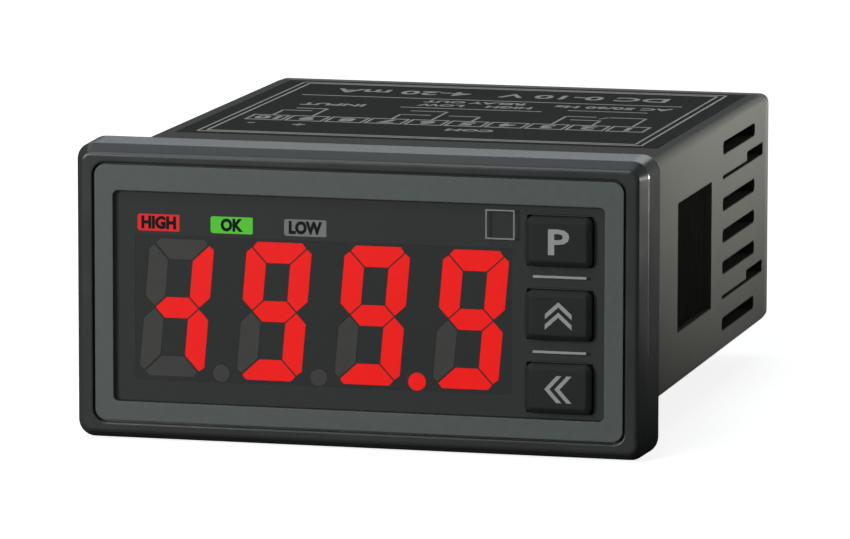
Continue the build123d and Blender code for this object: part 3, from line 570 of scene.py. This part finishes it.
branches = (
    (-15.6, 0.1, -12.6, 0.1), (-12.5, 0.1, -11.9, 1.2), (-11.4, 0.1, -8.9, 0.1), (-12.1, 2.3, -9.6, 2.3),
    (-1.6, 2.5, 1.0, 2.5), (1.9, -0.1, 5.0, -0.1), (2.6, 2.5, 5.1, 2.5), (12.4, 0.5, 15.0, 0.5),
    (13.2, 2.1, 15.6, 2.1), (-6.0, -2.4, 6.5, -2.4), (-15.0, -3.8, -8.0, -3.8), (-17.0, -8.6, 17.0, -8.6),
)
for x0, y0, x1, y1 in branches:
    label_lines.append(stroke(x0, y0, x1, y1, 0.26 if y0 == y1 else upright))
label_print = drawn(label_lines, "label_print")
seat_print(label_print, (*label_middle, label_high.z), READ_FROM_REAR)
finish_print(label_print, ink_label, "housing")
figures = []
figure_size, figure_weight, word_weight = 2.6, 0.1, 0.06
for i in range(10):
    figure = lettered(str(i + 1), figure_size, None, figure_weight, f"label_figure_{i + 1}")
    figure.location = ((i - 4.5) * box_pitch * MM, row * MM, 0)
    figures.append(figure)
label_wording = (
    ("INPUT", 2.0, 12.6, -2.6), ("HIGH    LOW", 1.7, 0.4, -4.4), ("AC 50/60 Hz", 1.9, -11.4, -6.2),
    ("RELAY OUT", 1.7, 1.0, -6.8), ("COM", 1.8, -3.0, 11.3), ("+      -", 2.0, 13.9, 11.3),
    ("DC 0-10 V   4-20 mA", 3.4, 0.0, -12.4),
)
for words, size, x, y in label_wording:
    line = lettered(words, size, None, word_weight, "label_words")
    line.location = (x * MM, y * MM, 0)
    figures.append(line)
label_figures = joined(figures, "label_figures")
seat_print(label_figures, (*label_middle, label_high.z + INK / MM / 2), READ_FROM_REAR)
finish_print(label_figures, ink_label, "housing")

# Rear terminals. The block is a dark moulding that closes the case, with a funnel for each wire. Plated
# steel cages ride on plated screws and clamp the wires against brass contact bars. A sunk strip on the
# block numbers them.

block_dark = moulded("block_dark", (46, 46, 45), (56, 56, 54), 0.5, depth=0.4, fineness=5000.0, edge=0.0001)
dress("terminal_block", block_dark)
terminal_pitch, strip_depth, strip_middle = 3.81, 0.2, 2.575
strip_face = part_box("terminal_block")[1][1] / MM - strip_depth
rear_figures = []
for i in range(10):
    figure = lettered(str(i + 1), 1.7, None, 0.03, f"rear_figure_{i + 1}")
    figure.location = ((i - 4.5) * terminal_pitch * MM, 0, 0)
    rear_figures.append(figure)
rear_numbers = joined(rear_figures, "rear_numbers")
seat_print(rear_numbers, (0, strip_face + INK / MM / 2, strip_middle), (pi / 2, 0, pi))
finish_print(rear_numbers, ink_label, "housing")
plated = moulded(
    "screw_plating", (168, 168, 162), (196, 196, 190), 0.28, depth=0.1, mottle=1500.0, edge=0.00006
)
zinc = moulded("cage_zinc", (150, 151, 150), (182, 183, 184), 0.38, depth=0.2, mottle=2500.0, edge=0.00006)
brass = moulded("contact_brass", (190, 152, 78), (210, 172, 96), 0.3, depth=0.15, mottle=1500.0)
for metal in (plated, zinc, brass):
    set_socket(metal, "Metallic", 1.0)
dress("contact_bars", brass)
for number in range(1, 11):
    dress(f"terminal_screw_{number}", plated)
    dress(f"wire_cage_{number}", zinc)

# Floor, camera and light. A plain pale floor under the bezel's lower edge, a long lens at the
# photograph's viewing angle, and a studio that is dark but for soft panels above, behind and in front, and
# one spot at the right rear.

bpy.ops.object.select_all(action="DESELECT")
bpy.ops.mesh.primitive_plane_add(size=6, location=(0, 0, cad_box[0][2] - 0.00005))
floor = bpy.context.object
floor.name = "floor"
bpy.ops.object.transform_apply(location=True, rotation=True, scale=True)
floor_pale = moulded("floor_pale", (240, 240, 240), (244, 244, 244), 0.8, depth=0.0)
set_socket(floor_pale, "Emission Color", (1, 1, 1, 1))
set_socket(floor_pale, "Emission Strength", 0.86)
floor_tree = floor_pale.node_tree
floor_shader = floor_tree.nodes["Principled BSDF"]
dull = floor_tree.nodes.new("ShaderNodeBsdfDiffuse")
dull.inputs["Color"].default_value = (0.12, 0.12, 0.12, 1)
seen = floor_tree.nodes.new("ShaderNodeLightPath")
either = floor_tree.nodes.new("ShaderNodeMixShader")
floor_tree.links.new(seen.outputs["Is Camera Ray"], either.inputs["Fac"])
floor_tree.links.new(dull.outputs["BSDF"], either.inputs[1])
floor_tree.links.new(floor_shader.outputs["BSDF"], either.inputs[2])
floor_tree.links.new(either.outputs["Shader"], floor_tree.nodes["Material Output"].inputs["Surface"])
floor.data.materials.append(floor_pale)

yaw, pitch, roll = radians(14.1751), radians(8.5451), radians(0.1059)
aim = Vector((4.4809, 0, 2.1646)) * MM
ahead = Vector((-sin(yaw) * cos(pitch), cos(yaw) * cos(pitch), -sin(pitch)))
level = Vector((cos(yaw), sin(yaw), 0))
rise = level.cross(ahead)
across = cos(roll) * level + sin(roll) * rise
upward = cos(roll) * rise - sin(roll) * level
bpy.ops.object.camera_add()
camera = bpy.context.object
camera.name = "photo_camera"
camera.data.sensor_width = 36.0
camera.data.lens = 294.594
camera.data.clip_start = 0.01
camera.data.clip_end = 20.0
turn = Matrix((across, upward, -ahead)).transposed().to_4x4()
camera.matrix_world = Matrix.Translation(aim - ahead * 0.5660737) @ turn
bpy.context.scene.camera = camera


def aimed(lamp, at, toward):
    """Turns a lamp at one point toward another."""
    lamp.rotation_euler = (Vector(toward) - Vector(at)).to_track_quat("-Z", "Y").to_euler()


def panel(name, at, size, power, tint, toward=(0, 0.01, 0)):
    """A soft light panel that faces the meter."""
    bpy.ops.object.light_add(type="AREA", location=at)
    lamp = bpy.context.object
    lamp.name = name
    lamp.data.shape = "RECTANGLE"
    lamp.data.size, lamp.data.size_y = size
    lamp.data.energy = power
    lamp.data.color = tint
    aimed(lamp, at, toward)
    return lamp


rear_panel = panel("rear_panel", (-0.14, 0.49, 0.31), (0.5, 0.40), 0.68, (0.88, 0.95, 1.0))
rear_panel.visible_diffuse = False
panel("upper_panel", (-0.08, 0.27, 0.54), (0.5, 0.3), 0.28, (0.88, 0.95, 1.0))
panel("top_panel", (-0.12, -0.25, 0.45), (0.3, 0.2), 0.6, (0.92, 0.97, 1.0))
panel("front_panel", (-0.30, -0.50, 0.13), (0.25, 0.25), 2.12, (1.0, 1.0, 1.0))
bpy.ops.object.light_add(type="SPOT", location=(0.40, 0.30, 0.016))
side_spot = bpy.context.object
side_spot.name = "side_spot"
side_spot.data.energy = 23.2
side_spot.data.color = (1.0, 0.985, 0.95)
side_spot.data.spot_size = radians(19.3)
side_spot.data.spot_blend = 0.12
side_spot.data.shadow_soft_size = 0.02
aimed(side_spot, side_spot.location, (0.0224, 0.045, 0.0748))

world = bpy.data.worlds.new("studio")
bpy.context.scene.world = world
world.use_nodes = True
sky = world.node_tree
sky.nodes.clear()
output = sky.nodes.new("ShaderNodeOutputWorld")
blend = sky.nodes.new("ShaderNodeMixShader")
room = sky.nodes.new("ShaderNodeBackground")
room.inputs["Color"].default_value = (0.95, 0.98, 1.0, 1)
room.inputs["Strength"].default_value = 0.06
paper = sky.nodes.new("ShaderNodeBackground")
paper.inputs["Color"].default_value = (1, 1, 1, 1)
paper.inputs["Strength"].default_value = 1.0
rays = sky.nodes.new("ShaderNodeLightPath")
sky.links.new(rays.outputs["Is Camera Ray"], blend.inputs["Fac"])
sky.links.new(room.outputs["Background"], blend.inputs[1])
sky.links.new(paper.outputs["Background"], blend.inputs[2])
sky.links.new(blend.outputs["Shader"], output.inputs["Surface"])
bpy.context.scene.view_settings.view_transform = "Standard"
